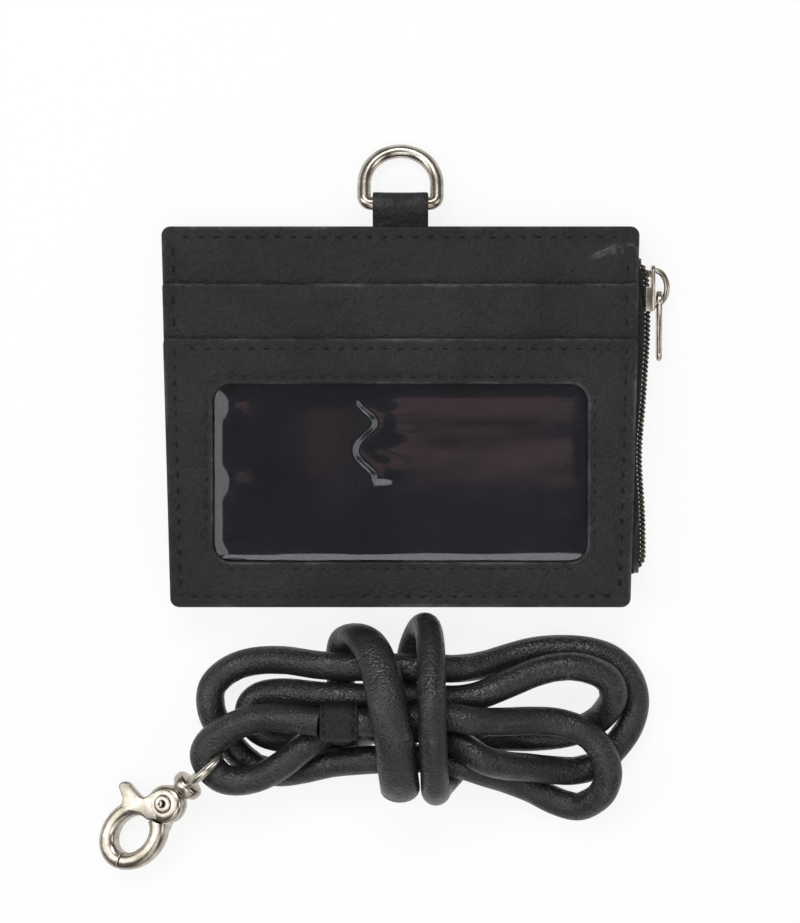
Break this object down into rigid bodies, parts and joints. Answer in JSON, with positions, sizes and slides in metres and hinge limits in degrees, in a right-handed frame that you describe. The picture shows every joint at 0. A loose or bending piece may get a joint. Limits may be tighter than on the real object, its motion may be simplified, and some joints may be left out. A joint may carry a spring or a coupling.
{
  "type": "id badge wallet",
  "caption": "Black leather badge wallet with window and card pockets, a side zip pouch, a D-ring tab and a rolled leather lanyard with trigger snap, tied up in a hank.",
  "frame": {"origin": "centre of the back panel's flat rest face", "axes": "+Z out of the front, +Y towards the top edge with the D-ring, +X towards the zip side"},
  "size_m": [0.1272, 0.1609, 0.0278],
  "materials": {
    "black_leather": "smooth, semi-matt",
    "leather_cord": "rolled, semi-matt",
    "thread": "waxed thread",
    "lining_cloth": "woven",
    "zip_coil": "aged bronze coil",
    "nickel": "polished nickel",
    "clear_film": "clear"
  },
  "bodies": {
    "wallet": {"back_panel": "black_leather", "pouch_lining": "lining_cloth", "pouch_front": "black_leather", "front_wall": "black_leather", "card_pocket": "black_leather", "window_pocket": "black_leather", "window_film": "clear_film", "ring_tab": "black_leather", "perimeter_stitching": "thread", "window_stitching": "thread", "pocket_edge_stitching": "thread", "zip_tape_front": "lining_cloth", "zip_tape_back": "lining_cloth", "zip_coil_front": "zip_coil", "zip_coil_back": "zip_coil", "zip_top_stop": "zip_coil", "zip_bottom_stop": "zip_coil"},
    "d_ring": {"d_ring": "nickel"},
    "zip_slider": {"slider_body": "nickel", "slider_bail": "nickel"},
    "zip_pull": {"pull_tab": "nickel"},
    "lanyard": {"neck_cord": "leather_cord", "hanger_loop": "leather_cord", "cord_keeper": "leather_cord", "keeper_stitching": "thread", "swivel_eye": "nickel", "swivel_collar": "nickel"},
    "clasp": {"clasp_body": "nickel", "gate_pin": "nickel", "gate_spring": "nickel"},
    "gate": {"gate_lever": "nickel"}
  },
  "joints": [
    {"name": "ring_swing", "type": "hinge", "parent": "wallet", "child": "d_ring", "pos_m": [0, 0.04679, 0.0065], "axis": [1, 0, 0], "range_deg": [0, 160]},
    {"name": "zip_run", "type": "slide", "parent": "wallet", "child": "zip_slider", "axis": [0, -1, 0], "range_m": [0, 0.055], "deforming": ["zip_coil_front", "zip_coil_back"]},
    {"name": "pull_swing", "type": "hinge", "parent": "zip_slider", "child": "zip_pull", "pos_m": [0.0561, 0.02832, 0.00355], "axis": [0, 0, 1], "range_deg": [0, 95]},
    {"name": "lanyard_lift", "type": "slide", "parent": "wallet", "child": "lanyard", "axis": [0, 0, 1], "range_m": [0, 0.1]},
    {"name": "clasp_turn", "type": "hinge", "parent": "lanyard", "child": "clasp", "pos_m": [-0.0517, -0.086, 0.0068], "axis": [-0.7119, -0.6708, -0.2079], "continuous": true},
    {"name": "gate_open", "type": "hinge", "parent": "clasp", "child": "gate", "pos_m": [-0.0517, -0.086, 0.0068], "axis": [0.3972, -0.1404, -0.9069], "range_deg": [0, 30], "stiffness_Nm_per_rad": 0.04, "springref_deg": -17.19}
  ]
}
